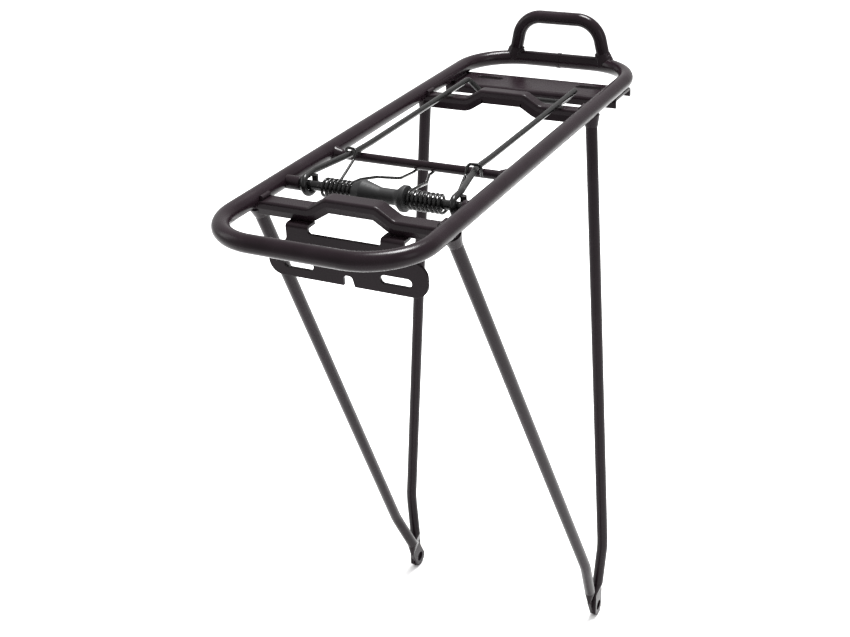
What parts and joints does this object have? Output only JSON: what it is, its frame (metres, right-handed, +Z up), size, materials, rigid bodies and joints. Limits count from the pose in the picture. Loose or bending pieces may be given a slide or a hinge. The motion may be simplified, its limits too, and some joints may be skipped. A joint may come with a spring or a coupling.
{
  "type": "bicycle rear rack",
  "caption": "Black tubular steel rear rack with a front hoop, folded cross-members, paired legs with drilled feet, a slotted light bracket and a sprung luggage clamp.",
  "frame": {"origin": "midway between the two foot holes, on their common axis", "axes": "+X the rack's right, +Y to the front of the bicycle, where the hoop is, +Z up"},
  "size_m": [0.1784, 0.3972, 0.4538],
  "materials": {
    "frame_paint": "satin black powder coat",
    "clamp_finish": "semi-gloss black lacquer over wire",
    "spring_finish": "gloss black spring wire",
    "sleeve_rubber": "matt black moulded spacer"
  },
  "bodies": {
    "rack": {"carrier_loop": "frame_paint", "loop_seam": "frame_paint", "front_hoop": "frame_paint", "hoop_welds": "frame_paint", "rear_leg_left": "frame_paint", "front_leg_left": "frame_paint", "rear_leg_right": "frame_paint", "front_leg_right": "frame_paint", "leg_welds": "frame_paint", "rear_crossmember": "frame_paint", "front_crossmember": "frame_paint", "crossmember_welds": "frame_paint", "front_mount_plate": "frame_paint", "mount_plate_welds": "frame_paint", "tail_light_bracket": "frame_paint", "rest_rod": "frame_paint", "rest_rod_welds": "frame_paint", "clamp_axle": "clamp_finish", "axle_boss_left": "frame_paint", "axle_boss_right": "frame_paint", "axle_sleeve": "sleeve_rubber", "clamp_spring": "spring_finish"},
    "clamp": {"clamp_bail": "clamp_finish"}
  },
  "joints": [
    {"name": "clamp_hinge", "type": "hinge", "parent": "rack", "child": "clamp", "pos_m": [0, -0.165, 0.4065], "axis": [1, 0, 0], "range_deg": [0, 95], "stiffness_Nm_per_rad": 0.95, "springref_deg": -91.67, "deforming": ["clamp_spring"]}
  ]
}
